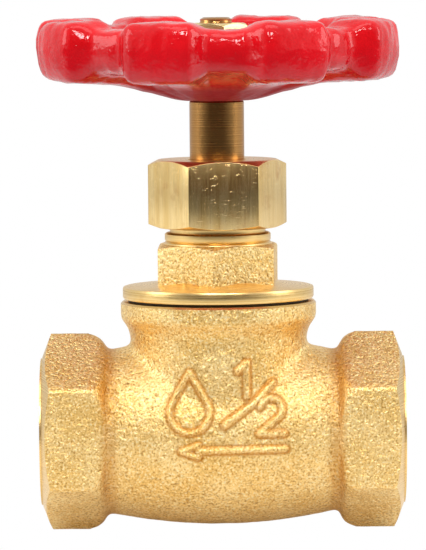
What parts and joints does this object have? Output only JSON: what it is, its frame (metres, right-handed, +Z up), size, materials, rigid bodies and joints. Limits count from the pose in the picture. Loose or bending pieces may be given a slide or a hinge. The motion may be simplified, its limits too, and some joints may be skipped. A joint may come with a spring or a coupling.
{
  "type": "globe valve",
  "caption": "Straight brass globe valve with female pipe-thread hexagon ends, a rising screwed stem and a lobed handwheel.",
  "frame": {"origin": "where the stem's axis crosses the pipe's axis", "axes": "+Z up the stem to the handwheel, +X along the pipe to the inlet, -Y to the front"},
  "size_m": [0.0579, 0.0574, 0.0808],
  "materials": {
    "cast_brass": "blasted casting, fine grain",
    "drawn_brass": "milled flats with fine drawing lines",
    "turned_brass": "turned",
    "stem_brass": "satin turned",
    "bright_brass": "bright",
    "gasket": "matt fibre",
    "packing": "graphited",
    "disc_rubber": "matt rubber",
    "spring_steel": "spring wire",
    "red_enamel": "thick gloss enamel"
  },
  "bodies": {
    "valve_body": {"body": "cast_brass", "bonnet_gasket": "gasket", "bonnet": "cast_brass", "packing_nut": "drawn_brass", "gland_follower": "turned_brass", "packing_base_washer": "turned_brass", "packing_ring_1": "packing", "packing_ring_2": "packing", "packing_ring_3": "packing"},
    "disc_carrier": {"disc_holder": "turned_brass", "disc_holder_nut": "turned_brass", "seat_disc": "disc_rubber", "disc_washer": "turned_brass", "disc_screw": "turned_brass"},
    "spindle": {"stem": "stem_brass", "stem_ring": "spring_steel", "handwheel": "red_enamel", "handwheel_washer": "bright_brass", "handwheel_nut": "bright_brass"}
  },
  "joints": [
    {"name": "stem_lift", "type": "slide", "parent": "valve_body", "child": "disc_carrier", "axis": [0, 0, 1], "range_m": [-0.006, 0]},
    {"name": "handwheel_turn", "type": "hinge", "parent": "disc_carrier", "child": "spindle", "pos_m": [0, 0, 0], "axis": [0, 0, 1], "range_deg": [-1080, 0]}
  ],
  "couplings": [
    {"joint": "stem_lift", "follows": "handwheel_turn", "m_per_rad": 0.0003183}
  ]
}
